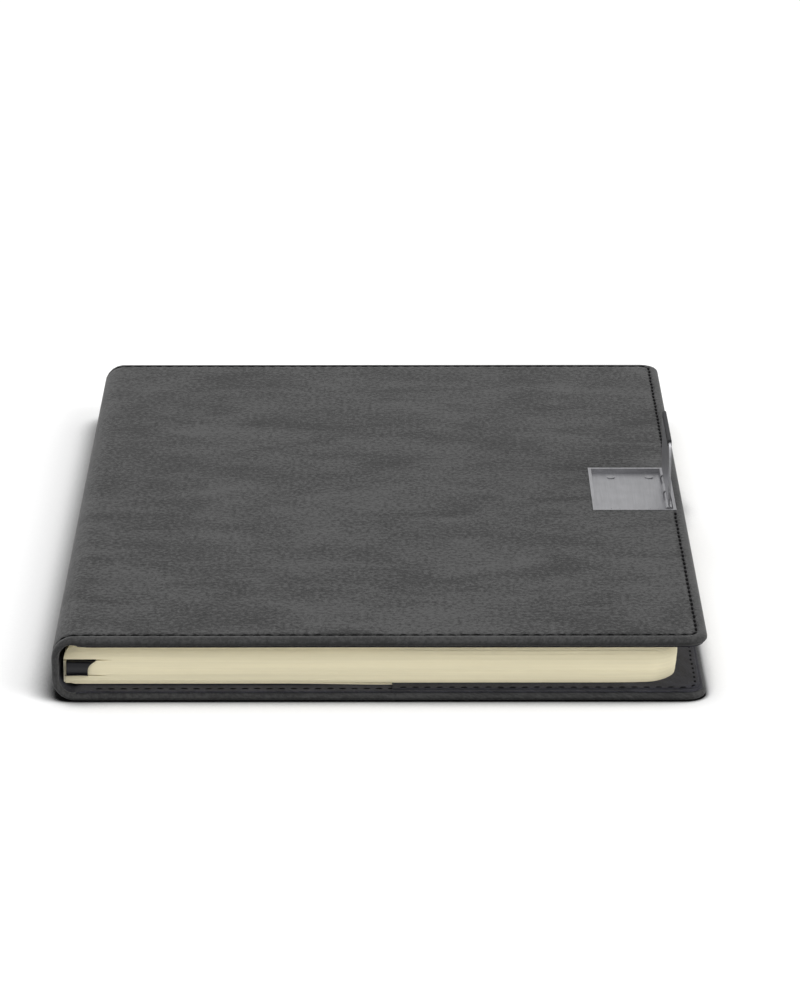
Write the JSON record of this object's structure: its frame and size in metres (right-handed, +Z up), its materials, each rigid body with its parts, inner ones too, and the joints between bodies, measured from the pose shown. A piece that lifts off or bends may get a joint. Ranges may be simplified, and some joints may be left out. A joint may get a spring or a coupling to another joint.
{
  "type": "wireless charging notebook organiser",
  "caption": "Closed suede-look A5 organiser whose front cover holds a wireless charging coil and a fold-up phone stand, with a paper insert, pockets and a ribbon.",
  "frame": {"origin": "on the table, under the middle of the closed covers", "axes": "+X from the spine to the fore-edge, +Y from the tail to the head along the spine, +Z up"},
  "size_m": [0.156, 0.22, 0.0334],
  "materials": {
    "grey_suede": "nubuck-look polyurethane with a fine nap and cloudy tone",
    "lining": "smooth matt lining sheet",
    "greyboard": "uncoated grey board",
    "paper": "uncoated cream leaves, cut edge",
    "card": "uncoated cream card",
    "black_textile": "woven satin ribbon and polyester thread",
    "satin_steel": "stamped stainless steel, satin",
    "black_moulding": "moulded plastic, fine texture",
    "circuit": "glass-fibre circuit board with solder mask",
    "copper": "enamelled copper winding",
    "ferrite": "sintered ferrite sheet",
    "silicone": "matt silicone edging",
    "clear_lens": "clear moulded lens"
  },
  "bodies": {
    "back": {"back_cover_skin": "grey_suede", "back_board": "greyboard", "back_lining": "lining", "back_pocket": "lining", "insert_back_card": "card", "leaves_lower": "paper", "leaves_middle": "paper", "insert_spine_card": "card", "bookmark_ribbon": "black_textile"},
    "spine": {"spine_skin": "grey_suede", "spine_lining": "lining"},
    "front": {"front_cover_skin": "grey_suede", "front_board": "greyboard", "front_lining": "lining", "front_pocket": "lining", "insert_front_card": "card", "charger_tray": "black_moulding", "ferrite_shield": "ferrite", "charging_coil": "copper", "charger_board": "circuit", "charger_chips": "black_moulding", "flex_lead": "circuit", "port_block": "black_moulding", "usb_socket_shell": "satin_steel", "usb_socket_tongue": "black_moulding", "status_led": "clear_lens", "stand_base": "satin_steel", "stand_hinge_pin": "satin_steel", "stand_rivets": "satin_steel"},
    "front_leaves": {"leaves_front": "paper"},
    "stand": {"stand_leaf": "satin_steel", "stand_tip": "silicone"}
  },
  "joints": [
    {"name": "spine_fold", "type": "hinge", "parent": "back", "child": "spine", "pos_m": [-0.075, 0, 0.003], "axis": [0, -1, 0], "range_deg": [0, 90], "deforming": ["spine_skin", "spine_lining"]},
    {"name": "cover_fold", "type": "hinge", "parent": "spine", "child": "front", "pos_m": [-0.075, 0, 0.013], "axis": [0, -1, 0], "range_deg": [0, 90]},
    {"name": "leaves_turn", "type": "hinge", "parent": "back", "child": "front_leaves", "pos_m": [-0.0756, 0, 0.0087], "axis": [0, -1, 0], "range_deg": [0, 180]},
    {"name": "stand_fold", "type": "hinge", "parent": "front", "child": "stand", "pos_m": [0.0742, 0, 0.0157], "axis": [0, -1, 0], "range_deg": [0, 90]}
  ],
  "couplings": [
    {"joint": "spine_fold", "follows": "cover_fold", "ratio": 1},
    {"joint": "leaves_turn", "follows": "cover_fold", "ratio": 2}
  ]
}
